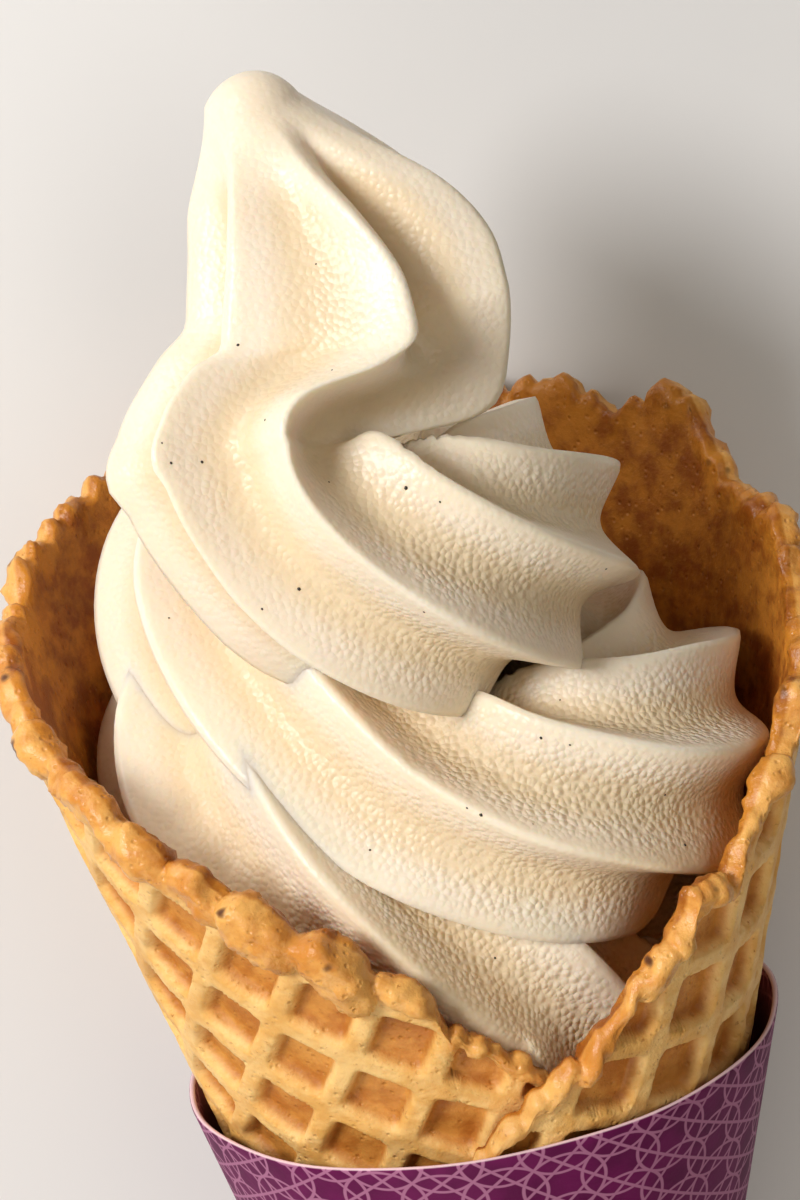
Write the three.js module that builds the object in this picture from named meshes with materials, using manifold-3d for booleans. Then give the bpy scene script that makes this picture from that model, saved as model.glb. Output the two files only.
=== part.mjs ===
// A soft serve ice cream, piped from a star nozzle into a rolled waffle cone that stands in a paper sleeve.
// It lies on its side on a table, on the flat back of the sleeve and on the rim of the cone.
//
// Sizes are in millimetres and angles in degrees. Everything is drawn in the cone's own frame: its tip is at
// the origin, its axis runs along +Z to the mouth, and -Y is the side that shows when it lies down.
import * as THREE from "three";
import { mergeVertices } from "three/addons/utils/BufferGeometryUtils.js";
import Module from "manifold-3d";

const wasm = await Module();
wasm.setup();

// ---------------------------------------------------------------- driving dimensions

const HALF_ANGLE = 14; // of the rolled cone

// The wafer is a round disc, rolled about a point of its own edge, so its rim is high at the back and comes
// down to a notch at the front, where the outer layer laps over the inner one.
const WAFER = {
  discDiameter: 173,
  thickness: 2,
  backAzimuth: 101, // where the rim is highest
  layerShift: 1.3, // the outer end stands out by this much, the inner end stands in
  layerTurn: 150, // turns from the back at which it does so in full
  innerEnd: 184, // turns past the back at which the modelled wafer ends, under the lap
  outerEnd: -197,
  outlineSteps: 96,
  lowerHeight: 104, // below this height the sleeve hides the wafer, and its wall is plain
};

// The square waffle pattern on the flat wafer. Its axes are turned, a pocket's middle lies at pocketU, pocketV,
// and columns and rows are counted from that pocket.
const WAFFLE = {
  pitch: 8,
  rib: 2.4,
  bevel: 0.8,
  depth: 0.9,
  turn: 23.8,
  pocketU: 71.1,
  pocketV: 125.7,
  firstColumn: -20,
  columns: 24,
  firstRow: -7,
  rows: 20,
};

// Broken and risen places of the rim: turn past the back, height over the plain rim, half width.
const CRAGS = [
  [-60, 4.5, 11],
  [-97, -2, 10],
  [-106, -6, 9],
  [-123, 4, 8],
  [-138, -4, 7],
  [-152, 3, 8],
  [80, -3, 14],
  [110, 4, 12],
  [131, 3, 9],
  [142, 4, 10],
  [152, 4, 9],
  [163, 4, 8],
  [173, 1.5, 5],
];

// The puffed edge of the rim: mean radius, size of its lumps, height by width, and how deep it lies under the
// wafer's inner face.
const BEAD = { radius: 1.7, lump: 0.85, stretch: 1.3, inset: 0.8, cover: 0.35, sides: 5, pieces: 4, rings: 25 };

const LOWER_WALL = { tip: 7, tipRadius: 1.6, top: 108, outerInset: 0.4, innerInset: 2.75, floor: 14 };

const CLEARANCE = 0.7; // between ice cream and wafer

const NOZZLE = { points: 7, firstAzimuth: -80, grooveDepth: 0.27, crestRound: 0.05 };

// How the hand led the rope round: turn from the front, centre x and y, radius of the coil, height of the
// rope's middle, radius of the rope, twist.
const COIL = [
  [-900, -0.1, -0.8, 13.5, 102.3, 15.4, -14],
  [-810, 0.6, -1.4, 12.8, 114, 15.5, -8],
  [-720, 0.3, -2.5, 12.1, 125, 15.5, -2],
  [-630, 0, -0.5, 17.2, 140.4, 15.4, -6],
  [-540, -0.2, -2.5, 19.7, 141.9, 14.7, -5],
  [-450, 1, -2.5, 20.5, 141, 14, 2],
  [-360, -1, 0.5, 11.5, 143.5, 13.8, 6],
  [-270, -3, 7.5, 13.5, 157.5, 14.2, 8],
  [-180, -2.5, 5.5, 12.5, 161, 13.7, 6],
  [-90, -0.5, 2, 11, 162.7, 13.4, 3],
  [0, 0.5, -3, 9, 166.4, 13.4, 3],
  [90, -3.5, -7.5, 6.7, 175.7, 14.2, 2],
];
const COIL_STEP = 30;

// The lift between the coil and the peak. It starts at this step of the coil, and the places of its seven
// ridges in turn are given in three sections.
const LIFT = {
  from: 31.5,
  ridges: [
    [[-8.2, -20.5, 183.7], [-2.4, -12.5, 180], [0, -3.5, 176], [-4, 6, 172],
      [-14.5, 3, 169], [-24.6, -9.5, 176.3], [-19.8, -19, 181.4]],
    [[-6, -18.5, 186.9], [3.2, -8.5, 178.5], [6, 1, 176.5], [-2.5, 10, 177],
      [-14, 7, 176], [-23.2, -6.5, 182.3], [-18.8, -16.5, 186]],
    [[1.3, -15.5, 187.8], [10.6, -5, 179.2], [10.5, 4.5, 181], [0, 12.7, 183],
      [-12, 9.8, 184], [-18.9, -3.5, 187.2], [-15.6, -13, 189]],
  ],
};

// The peak, drawn straight up in level sections: x, y, height, radius, twist.
const PEAK = [
  [-1.6, -0.9, 190, 14.2, 4],
  [-1.6, 1.1, 194.5, 13.3, 5],
  [-2.6, 2.8, 199, 11.5, 4],
  [-4.5, 4.4, 203.4, 8.5, 2],
  [-6.7, 5.7, 207.6, 5.1, 2],
];
// Ridges of the peak that stray from the star: row, ridge, outward pull, lean, length in rows.
const STRAYS = [
  [0, 6, 0, -14, 3.5],
  [0, 0, 0, 14, 3.5],
  [0, 1, 0.8, 6, 3.5],
];
const WORN_ROWS = 2.2; // the grooves run out over the peak's last rows
const TIP_SLANT = 35; // of the peak's sides, where its rounded tip begins
const ROPE = { facetsPerPoint: 4, step: 6, domeRings: 3, segmentRings: 7, squeeze: 0.95 };

// The ice cream that fills the cone below the coil: its top rises towards the back, with a core inside the coil.
const PLUG = { bottom: 18, bottomRadius: 1, top: 125, rise: 9, coreRadius: 9, coreTop: 148 };

const SLEEVE = {
  tip: -3,
  tipRadius: 1.4,
  height: 115.5,
  radius: 30.6,
  offsetX: 0.6, // it stands a little off the cone's axis at the top
  paper: 0.6,
  floor: 1,
  gap: 0.3, // to the wafer, on the flat back
};

const WALL_SEGMENTS = 40;

// ---------------------------------------------------------------- small helpers

const rad = THREE.MathUtils.degToRad;
const deg = THREE.MathUtils.radToDeg;
const SIN = Math.sin(rad(HALF_ANGLE));
const COS = Math.cos(rad(HALF_ANGLE));
const SLOPE = SIN / COS;

function geometryOf(points, triangles) {
  const geometry = new THREE.BufferGeometry().setFromPoints(points);
  geometry.setIndex(triangles.flat());
  return geometry;
}

// A geometry with the points that meet merged, and the triangles that this leaves empty removed.
function welded(geometry, distance) {
  const bare = new THREE.BufferGeometry();
  bare.setAttribute("position", geometry.getAttribute("position"));
  bare.setIndex(geometry.getIndex());
  const merged = mergeVertices(bare, distance);
  const index = merged.getIndex().array;
  const kept = [];
  for (let i = 0; i < index.length; i += 3) {
    const [a, b, c] = [index[i], index[i + 1], index[i + 2]];
    if (a !== b && b !== c && c !== a) kept.push(a, b, c);
  }
  merged.setIndex(kept);
  return merged;
}

function solidOf(geometry, distance = 1e-4) {
  const merged = welded(geometry, distance);
  const mesh = new wasm.Mesh({
    numProp: 3,
    vertProperties: new Float32Array(merged.getAttribute("position").array),
    triVerts: new Uint32Array(merged.getIndex().array),
  });
  return new wasm.Manifold(mesh);
}

function geometryOfSolid(solid) {
  const { vertProperties, triVerts } = solid.getMesh();
  const geometry = new THREE.BufferGeometry();
  geometry.setAttribute("position", new THREE.BufferAttribute(vertProperties, 3));
  geometry.setIndex(new THREE.BufferAttribute(triVerts, 1));
  return geometry;
}

// The main body of a solid, with sealed hollows filled, loose scraps dropped and points within a micron joined.
function mainBody(solid) {
  const largest = (bodies) => bodies.reduce((best, body) => (body.volume() > best.volume() ? body : best));
  let body = largest(solid.decompose()).simplify(0.01);
  for (let pass = 0; pass < 3; pass++) body = largest(solidOf(geometryOfSolid(body), 1e-3).decompose());
  return body;
}

// A closed body through rings of equally many points, each ring counter-clockwise seen from the next one.
function loft(rings) {
  const size = rings[0].length;
  const points = rings.flat();
  const triangles = [];
  for (let i = 0; i + 1 < rings.length; i++) {
    for (let j = 0; j < size; j++) {
      const [a, b] = [i * size + j, i * size + ((j + 1) % size)];
      triangles.push([a, b, b + size], [a, b + size, a + size]);
    }
  }
  const cap = (start, flip) => {
    const centre = new THREE.Vector3();
    for (let j = 0; j < size; j++) centre.addScaledVector(points[start + j], 1 / size);
    points.push(centre);
    for (let j = 0; j < size; j++) {
      const [a, b] = [start + j, start + ((j + 1) % size)];
      triangles.push(flip ? [b, a, points.length - 1] : [a, b, points.length - 1]);
    }
  };
  cap(0, true);
  cap((rings.length - 1) * size, false);
  return geometryOf(points, triangles);
}

// A smooth curve through rows of numbers, one row for each whole value of t.
function alongRows(rows, t) {
  const i = Math.min(Math.max(Math.floor(t), 0), rows.length - 2);
  const f = t - i;
  const b = rows[i];
  const c = rows[i + 1];
  const a = rows[i - 1] ?? b.map((value, k) => 2 * value - c[k]);
  const d = rows[i + 2] ?? c.map((value, k) => 2 * value - b[k]);
  return b.map((value, k) => {
    const linear = c[k] - a[k];
    const square = 2 * a[k] - 5 * value + 4 * c[k] - d[k];
    const cubic = -a[k] + 3 * value - 3 * c[k] + d[k];
    return value + 0.5 * f * (linear + f * (square + f * cubic));
  });
}

// A rounded bump of height 1 at 0 that is gone at distance 1.
function bump(distance) {
  return Math.abs(distance) < 1 ? Math.cos((distance * Math.PI) / 2) ** 2 : 0;
}

// ---------------------------------------------------------------- the rolled wafer

// How far the wafer stands out of the plain cone. A turn counts from the back, positive to the left.
function standOut(turn) {
  const share = THREE.MathUtils.clamp(turn / WAFER.layerTurn, -1, 1);
  return -WAFER.layerShift * share ** 3;
}

// A point of the flat wafer, u and v from the disc's rolling point and depth under the outer face, rolled up.
function roll(u, v, depth) {
  const slant = Math.hypot(u, v);
  const turn = deg(Math.atan2(u, v)) / SIN;
  const azimuth = rad(turn + WAFER.backAzimuth);
  const out = standOut(turn) - depth;
  const radius = slant * SIN + out * COS;
  return new THREE.Vector3(radius * Math.cos(azimuth), radius * Math.sin(azimuth), slant * COS - out * SIN);
}

function flatPoint(turn, slant) {
  const angle = rad(turn * SIN);
  return new THREE.Vector2(slant * Math.sin(angle), slant * Math.cos(angle));
}

function rimSlant(turn) {
  const crags = CRAGS.reduce((sum, [at, height, width]) => sum + height * bump((turn - at) / width), 0);
  const ripple = 0.7 * Math.sin(rad(turn * 15)) + 0.5 * Math.sin(rad(turn * 26 + 40));
  return WAFER.discDiameter * Math.cos(rad(turn * SIN)) + crags + ripple;
}

// A flat slab with square pockets in its upper face, count by count, its upper face at height 0.
function waffleSlab(countX, countY) {
  const { pitch, rib, bevel, depth } = WAFFLE;
  const points = [];
  const triangles = [];
  const add = (x, y, z) => points.push(new THREE.Vector3(x, y, z)) - 1;
  const quad = (a, b, c, d) => triangles.push([a, b, c], [a, c, d]);
  const near = rib / 2;
  const far = pitch - rib / 2;
  const cells = [];
  for (let i = 0; i < countX; i++) {
    cells.push([]);
    for (let j = 0; j < countY; j++) {
      const corners = (inset, z) => [
        add(i * pitch + near + inset, j * pitch + near + inset, z),
        add(i * pitch + far - inset, j * pitch + near + inset, z),
        add(i * pitch + far - inset, j * pitch + far - inset, z),
        add(i * pitch + near + inset, j * pitch + far - inset, z),
      ];
      const edge = corners(0, 0);
      const floor = corners(bevel, -depth);
      quad(...floor);
      for (let k = 0; k < 4; k++) quad(edge[k], edge[(k + 1) % 4], floor[(k + 1) % 4], floor[k]);
      cells[i].push(edge);
    }
  }
  for (let i = 0; i < countX; i++) {
    for (let j = 0; j < countY; j++) {
      const here = cells[i][j];
      const right = cells[i + 1]?.[j];
      const above = cells[i][j + 1];
      const across = cells[i + 1]?.[j + 1];
      if (right) quad(here[1], right[0], right[3], here[2]);
      if (above) quad(here[3], here[2], above[1], above[0]);
      if (across) quad(here[2], right[3], across[0], above[1]);
    }
  }
  // the plain lower face, with a line under each rib
  const lines = (count) => {
    const places = Array.from({ length: count + 1 }, (_, i) => i * pitch);
    places[0] += near;
    places[count] -= near;
    return places;
  };
  const columns = lines(countX);
  const rows = lines(countY);
  const under = columns.map((x) => rows.map((y) => add(x, y, -WAFER.thickness)));
  for (let i = 0; i + 1 < columns.length; i++) {
    for (let j = 0; j + 1 < rows.length; j++) {
      quad(under[i][j], under[i][j + 1], under[i + 1][j + 1], under[i + 1][j]);
    }
  }
  // a side wall between a line of upper points and a line of lower points that run the same way
  const wall = (upper, lower, axis) => {
    const place = (index) => Math.abs(points[index][axis] - points[upper[0]][axis]);
    let [a, b] = [0, 0];
    while (a + 1 < upper.length || b + 1 < lower.length) {
      const lowerDone = b + 1 >= lower.length;
      const stepUpper = lowerDone || (a + 1 < upper.length && place(upper[a + 1]) <= place(lower[b + 1]));
      if (stepUpper) triangles.push([upper[a], lower[b], upper[a + 1]]);
      else triangles.push([upper[a], lower[b], lower[b + 1]]);
      if (stepUpper) a += 1;
      else b += 1;
    }
  };
  const front = cells.flatMap((column) => [column[0][0], column[0][1]]);
  const back = cells.flatMap((column) => [column.at(-1)[3], column.at(-1)[2]]);
  const left = cells[0].flatMap((cell) => [cell[0], cell[3]]);
  const right = cells.at(-1).flatMap((cell) => [cell[1], cell[2]]);
  wall(front, under.map((column) => column[0]), "x");
  wall(right, under.at(-1), "y");
  wall(back.reverse(), under.map((column) => column.at(-1)).reverse(), "x");
  wall(left.reverse(), under[0].toReversed(), "y");
  return geometryOf(points, triangles);
}

// The part of the flat wafer that shows above the sleeve, seen from its upper face.
function waferOutline() {
  const outline = [];
  const { innerEnd, outerEnd, outlineSteps, lowerHeight } = WAFER;
  for (let i = 0; i <= outlineSteps; i++) {
    const turn = THREE.MathUtils.lerp(innerEnd, outerEnd, i / outlineSteps);
    outline.push(flatPoint(turn, rimSlant(turn)));
  }
  for (let i = 0; i <= outlineSteps; i += 2) {
    const turn = THREE.MathUtils.lerp(outerEnd, innerEnd, i / outlineSteps);
    outline.push(flatPoint(turn, lowerHeight / COS));
  }
  return outline;
}

function waferSheet() {
  const { pitch, turn, pocketU, pocketV, firstColumn, columns, firstRow, rows } = WAFFLE;
  const pocket = new THREE.Vector2(pocketU, pocketV).rotateAround(new THREE.Vector2(), -rad(turn));
  const slab = waffleSlab(columns, rows);
  slab.translate(pocket.x + (firstColumn - 0.5) * pitch, pocket.y + (firstRow - 0.5) * pitch, 0);
  slab.rotateZ(rad(turn));
  const cutter = new THREE.ExtrudeGeometry(new THREE.Shape(waferOutline()), { depth: 6, bevelEnabled: false });
  cutter.translate(0, 0, -4);
  const geometry = geometryOfSolid(solidOf(slab).intersect(solidOf(cutter)));
  const position = geometry.getAttribute("position");
  for (let i = 0; i < position.count; i++) {
    const { x, y, z } = roll(position.getX(i), position.getY(i), -position.getZ(i));
    position.setXYZ(i, x, y, z);
  }
  return solidOf(geometry);
}

// The browned, lumpy edge of the wafer between two turns.
function rimBead(from, to) {
  const rings = [];
  for (let i = 0; i < BEAD.rings; i++) {
    const turn = THREE.MathUtils.lerp(from, to, i / (BEAD.rings - 1));
    const lumps = 0.5 + 0.5 * Math.sin(rad(turn * 26)) + 0.35 * Math.sin(rad(turn * 41 + 60));
    const underLap = bump((turn - WAFER.innerEnd) / 30) + bump((turn - WAFER.outerEnd) / 30);
    const radius = (BEAD.radius + BEAD.lump * lumps) * (1 - 0.5 * underLap);
    const middle = rimSlant(turn) - BEAD.inset;
    const ring = [];
    for (let k = 0; k < BEAD.sides; k++) {
      const angle = (2 * Math.PI * k) / BEAD.sides;
      const depth = Math.min(WAFER.thickness / 2 - radius * Math.cos(angle), WAFER.thickness - BEAD.cover);
      const { x, y } = flatPoint(turn, middle + radius * BEAD.stretch * Math.sin(angle));
      ring.push(roll(x, y, depth));
    }
    rings.push(ring);
  }
  return solidOf(loft(rings));
}

// The plain lower part of the cone, in the sleeve.
function lowerWall() {
  const { tip, tipRadius, top, outerInset, innerInset, floor } = LOWER_WALL;
  const profile = [
    [0, tip],
    [tipRadius, tip],
    [SLOPE * top - outerInset, top],
    [SLOPE * top - innerInset, top],
    [SLOPE * floor - innerInset, floor],
    [0, floor],
  ];
  return latheSolid(profile);
}

function latheSolid(profile) {
  const points = profile.map(([r, z]) => new THREE.Vector2(r, z));
  const lathe = new THREE.LatheGeometry(points, WALL_SEGMENTS);
  lathe.rotateX(Math.PI / 2);
  return solidOf(lathe);
}

function waffleCone() {
  const { outerEnd, innerEnd } = WAFER;
  let cone = waferSheet().add(lowerWall());
  for (let piece = 0; piece < BEAD.pieces; piece++) {
    const from = THREE.MathUtils.lerp(innerEnd, outerEnd, piece / BEAD.pieces);
    const to = THREE.MathUtils.lerp(innerEnd, outerEnd, (piece + 1) / BEAD.pieces);
    cone = cone.add(rimBead(from, to));
  }
  return cone;
}

// ---------------------------------------------------------------- the ice cream

// The coil's middle line, radius and twist, every COIL_STEP.
function coilRows() {
  const rows = [];
  const spacing = 90;
  for (let turn = COIL[0][0]; turn <= COIL.at(-1)[0]; turn += COIL_STEP) {
    const [, x, y, radius, height, thickness, twist] = alongRows(COIL, (turn - COIL[0][0]) / spacing);
    const azimuth = rad(-90 - turn);
    rows.push([x + radius * Math.cos(azimuth), y + radius * Math.sin(azimuth), height, thickness, twist]);
  }
  return rows;
}

// Distance from the rope's middle to its skin, as a share of its radius, at an angle from a ridge.
function starRadius(angle) {
  const { points, grooveDepth, crestRound } = NOZZLE;
  const share = THREE.MathUtils.euclideanModulo((angle * points) / (2 * Math.PI) + 0.5, 1) - 0.5;
  const rounded = Math.hypot(share, crestRound) - crestRound * (1 - 2 * Math.abs(share));
  return 1 - grooveDepth * (1 - (1 - 2 * rounded) ** 2);
}

// One section of the coil. The nozzle doesn't turn, so its ridges keep their azimuth and only bend over with
// the rope. On the inside of a tight bend the section is squeezed, so that sections never cross.
function coilSection(rows, t, angles) {
  const step = 0.02;
  const at = (s) => new THREE.Vector3(...alongRows(rows, s));
  const [, , , thickness, twist] = alongRows(rows, t);
  const middle = at(t);
  const before = at(t - step);
  const after = at(t + step);
  const speed = after.clone().sub(before).divideScalar(2 * step);
  const tangent = speed.clone().normalize();
  const bend = after.add(before).addScaledVector(middle, -2).divideScalar(step * step);
  bend.addScaledVector(tangent, -bend.dot(tangent)).divideScalar(speed.lengthSq());
  const curvature = Math.max(bend.length(), 1e-6);
  const inwards = bend.divideScalar(curvature);
  const limit = ROPE.squeeze / curvature;
  const lean = new THREE.Quaternion().setFromUnitVectors(new THREE.Vector3(0, 0, 1), tangent);
  return angles.map((angle) => {
    const azimuth = angle + rad(NOZZLE.firstAzimuth + twist);
    const reach = thickness * starRadius(angle);
    const offset = new THREE.Vector3(Math.cos(azimuth), Math.sin(azimuth), 0).multiplyScalar(reach);
    offset.applyQuaternion(lean);
    const inside = offset.dot(inwards);
    if (inside > 0) offset.addScaledVector(inwards, limit * Math.tanh(inside / limit) - inside);
    return offset.add(middle);
  });
}

// One level section of the peak, whose grooves run out towards the tip.
function peakSection(t, angles, swell = 1) {
  const { points, firstAzimuth, grooveDepth } = NOZZLE;
  const [x, y, height, radius, twist] = alongRows(PEAK, t);
  const last = PEAK.length - 1;
  const worn = THREE.MathUtils.smoothstep(t, last - WORN_ROWS, last);
  return angles.map((angle) => {
    let reach = radius * THREE.MathUtils.lerp(starRadius(angle), 1 - grooveDepth / 2, worn);
    let azimuth = angle + rad(firstAzimuth + twist);
    for (const [row, ridge, pull, lean, length] of STRAYS) {
      const place = (angle * points) / (2 * Math.PI) - ridge + points / 2;
      const offRidge = THREE.MathUtils.euclideanModulo(place, points) - points / 2;
      const share = bump((t - row) / length) * bump(offRidge / 1.2);
      reach += pull * share;
      azimuth += rad(lean) * share;
    }
    reach *= swell;
    return new THREE.Vector3(x + reach * Math.cos(azimuth), y + reach * Math.sin(azimuth), height);
  });
}

// One section of the lift, a star drawn through its ridges.
function liftSection(ridges, angles) {
  const { points } = NOZZLE;
  const loop = [ridges.at(-1), ...ridges, ridges[0], ridges[1]];
  const middle = new THREE.Vector3();
  for (const ridge of ridges) middle.addScaledVector(new THREE.Vector3(...ridge), 1 / points);
  return angles.map((angle) => {
    const place = new THREE.Vector3(...alongRows(loop, 1 + (angle * points) / (2 * Math.PI)));
    return place.sub(middle).multiplyScalar(starRadius(angle)).add(middle);
  });
}

// One section of the whole rope: the coil, then the lift, where each line of the skin swings over to its place
// on the peak, then the peak.
function ropeSection(rows, t, angles, swell = 1) {
  const from = LIFT.from;
  const to = from + LIFT.ridges.length + 1;
  if (t < from) return coilSection(rows, t, angles);
  if (t > to) return peakSection(t - to, angles, swell);
  const step = 0.02;
  const between = (a, b, scale) => b.map((point, k) => point.clone().sub(a[k]).multiplyScalar(scale));
  const knots = [coilSection(rows, from, angles)];
  for (const ridges of LIFT.ridges) knots.push(liftSection(ridges, angles));
  knots.push(peakSection(0, angles));
  const slopes = [between(coilSection(rows, from - step, angles), knots[0], 1 / step)];
  for (let i = 2; i < knots.length; i++) slopes.push(between(knots[i - 2], knots[i], 0.5));
  slopes.push(between(knots.at(-1), peakSection(step, angles), 1 / step));
  const i = Math.min(Math.floor(t - from), LIFT.ridges.length);
  const f = t - from - i;
  return angles.map((_, k) =>
    new THREE.Vector3()
      .addScaledVector(knots[i][k], (1 - f) ** 2 * (1 + 2 * f))
      .addScaledVector(knots[i + 1][k], f ** 2 * (3 - 2 * f))
      .addScaledVector(slopes[i][k], f * (1 - f) ** 2)
      .addScaledVector(slopes[i + 1][k], -(f ** 2) * (1 - f)),
  );
}

// Angles round the rope, the first one on a ridge.
function ropeAngles(count) {
  return Array.from({ length: count }, (_, k) => (2 * Math.PI * k) / count);
}

// Places along the rope at even steps of its skin, on the whole, up to the foot of the rounded tip.
function ropeStations(rows) {
  const fine = 20;
  const last = LIFT.from + LIFT.ridges.length + PEAK.length;
  const angles = ropeAngles(12);
  const marks = [[0, 0]];
  let before = ropeSection(rows, 0, angles);
  for (let i = 1; i <= Math.round(last * fine); i++) {
    const section = ropeSection(rows, i / fine, angles);
    const moved = section.reduce((sum, point, k) => sum + point.distanceTo(before[k]), 0) / angles.length;
    marks.push([marks[i - 1][0] + moved, i / fine]);
    before = section;
  }
  const length = marks.at(-1)[0];
  const steps = Math.round(length / ROPE.step);
  const stations = [];
  for (let n = 0; n <= steps; n++) {
    const run = (length * n) / steps;
    const i = Math.max(marks.findIndex(([mark]) => mark >= run - 1e-9), 1);
    const [[s0, t0], [s1, t1]] = [marks[i - 1], marks[i]];
    stations.push(t0 + ((run - s0) / (s1 - s0)) * (t1 - t0));
  }
  return stations;
}

function rope() {
  const rows = coilRows();
  const angles = ropeAngles(NOZZLE.points * ROPE.facetsPerPoint);
  const stations = ropeStations(rows);
  const rings = stations.map((t) => ropeSection(rows, t, angles));
  const foot = rad(TIP_SLANT);
  for (let i = 1; i <= ROPE.domeRings; i++) {
    const slant = THREE.MathUtils.lerp(foot, rad(86), i / ROPE.domeRings);
    const rise = (PEAK.at(-1)[3] * (Math.sin(slant) - Math.sin(foot))) / Math.cos(foot);
    const ring = peakSection(PEAK.length - 1, angles, Math.cos(slant) / Math.cos(foot));
    rings.push(ring.map((point) => point.add(new THREE.Vector3(0, 0, rise))));
  }
  let whole = null;
  for (let i = 0; i + 1 < rings.length; i += ROPE.segmentRings) {
    const segment = solidOf(loft(rings.slice(i, i + ROPE.segmentRings + 1)));
    whole = whole ? whole.add(segment) : segment;
  }
  return whole;
}

// The room inside the rolled wafer, up past the top of the ice cream.
function wallRoom() {
  const lap = WAFER.innerEnd + 2;
  const rings = [];
  const lowerInset = LOWER_WALL.innerInset + CLEARANCE;
  for (const height of [16, 60, LOWER_WALL.top + 0.5, LOWER_WALL.top + 2, 150, 230]) {
    const inset = height > LOWER_WALL.top + 1 ? 0 : lowerInset;
    const ring = [];
    for (let turn = lap - 360; turn < lap; turn += 4) {
      const step = bump((turn - lap + 360) / 8);
      const out = THREE.MathUtils.lerp(standOut(turn), standOut(180), step);
      const radius = SLOPE * height - Math.max((WAFER.thickness + CLEARANCE - out) / COS, inset);
      const azimuth = rad(turn + WAFER.backAzimuth);
      ring.push(new THREE.Vector3(radius * Math.cos(azimuth), radius * Math.sin(azimuth), height));
    }
    rings.push(ring);
  }
  return solidOf(loft(rings));
}

function plug() {
  const { bottom, bottomRadius, top, rise, coreRadius, coreTop } = PLUG;
  const ring = (radius, heightAt) =>
    Array.from({ length: WALL_SEGMENTS }, (_, k) => {
      const azimuth = (2 * Math.PI * k) / WALL_SEGMENTS;
      const [x, y] = [radius * Math.cos(azimuth), radius * Math.sin(azimuth)];
      return new THREE.Vector3(x, y, heightAt(Math.sin(azimuth)));
    });
  const filling = loft([ring(bottomRadius, () => bottom), ring(SLOPE * top, (back) => top + rise * back)]);
  const core = loft([ring(coreRadius, () => top - rise), ring(coreRadius, () => coreTop)]);
  return solidOf(filling).add(solidOf(core));
}

function softServe() {
  return rope().add(plug()).intersect(wallRoom());
}

// ---------------------------------------------------------------- the paper sleeve

// A cone of paper, loose round the wafer and pressed flat against it at the back, where it lies on the table.
function sleeveRing(height, radius, gap) {
  const ring = [];
  const flat = SLOPE * height + gap / COS;
  for (let k = 0; k < WALL_SEGMENTS; k++) {
    const azimuth = (2 * Math.PI * k) / WALL_SEGMENTS;
    const shift = SLEEVE.offsetX * (height / SLEEVE.height);
    const x = shift + radius * Math.cos(azimuth);
    ring.push(new THREE.Vector3(x, Math.min(radius * Math.sin(azimuth), flat), height));
  }
  return ring;
}

function paperSleeve() {
  const { tip, tipRadius, height, radius, paper, floor, gap } = SLEEVE;
  const slope = (radius - tipRadius) / (height - tip);
  const inner = (z) => tipRadius + slope * (z - tip);
  const rings = [
    sleeveRing(tip, tipRadius + paper, gap + paper),
    sleeveRing(height, inner(height) + paper, gap + paper),
    sleeveRing(height, inner(height), gap),
    sleeveRing(tip + floor, inner(tip + floor), gap),
  ];
  return solidOf(loft(rings));
}

// ---------------------------------------------------------------- the part

// The table, in the cone's frame, is the plane that the sleeve's flat back lies on.
const TABLE_GAP = SLEEVE.gap + SLEEVE.paper;

function cutAtTable(solid) {
  const box = new THREE.BoxGeometry(200, 40, 400);
  box.translate(0, 20 + TABLE_GAP, 0);
  box.rotateX(-rad(HALF_ANGLE));
  return solid.subtract(solidOf(box));
}

// Laid down: -Y comes to the top, the mouth points along +Y and the table is at height 0.
function laidDown(solid) {
  return solid.rotate([HALF_ANGLE - 90, 0, 0]).translate([0, 0, TABLE_GAP]);
}

const pieces = [
  { name: "waffle_cone", solid: laidDown(cutAtTable(waffleCone())), color: 0xd9984a, roughness: 0.7 },
  { name: "soft_serve", solid: laidDown(softServe()), color: 0xf1e3c4, roughness: 0.45 },
  { name: "paper_sleeve", solid: laidDown(paperSleeve()), color: 0x5c1450, roughness: 0.6 },
];

const bounds = new THREE.Box3();
for (const { solid } of pieces) {
  const { min, max } = solid.boundingBox();
  bounds.union(new THREE.Box3(new THREE.Vector3(...min), new THREE.Vector3(...max)));
}
const centre = bounds.getCenter(new THREE.Vector3());

const part = new THREE.Group();
for (const { name, solid, color, roughness } of pieces) {
  const geometry = geometryOfSolid(mainBody(solid.translate([-centre.x, -centre.y, 0])));
  geometry.computeVertexNormals();
  const mesh = new THREE.Mesh(geometry, new THREE.MeshStandardMaterial({ color, roughness, metalness: 0 }));
  mesh.name = name;
  part.add(mesh);
}

export default part;
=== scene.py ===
import math

import bmesh
import bpy
import numpy as np
from mathutils import Matrix, Vector, noise
from mathutils.bvhtree import BVHTree


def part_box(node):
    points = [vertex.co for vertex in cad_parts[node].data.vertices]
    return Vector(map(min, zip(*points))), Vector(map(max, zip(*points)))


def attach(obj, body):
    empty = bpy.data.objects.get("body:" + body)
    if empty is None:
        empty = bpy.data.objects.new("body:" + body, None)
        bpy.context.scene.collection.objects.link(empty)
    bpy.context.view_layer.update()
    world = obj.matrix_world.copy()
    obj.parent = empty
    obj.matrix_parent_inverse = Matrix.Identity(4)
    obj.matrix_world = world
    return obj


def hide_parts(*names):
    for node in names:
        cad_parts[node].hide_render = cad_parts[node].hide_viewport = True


# A soft serve ice cream in a rolled waffle cone and a paper sleeve, lying on a table.
# Shapes are worked out in the cone's own frame, in millimetres and degrees: the tip is at the origin, the
# axis runs along +Z to the mouth, and -Y is the side that faces up when the cone lies down.

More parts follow.
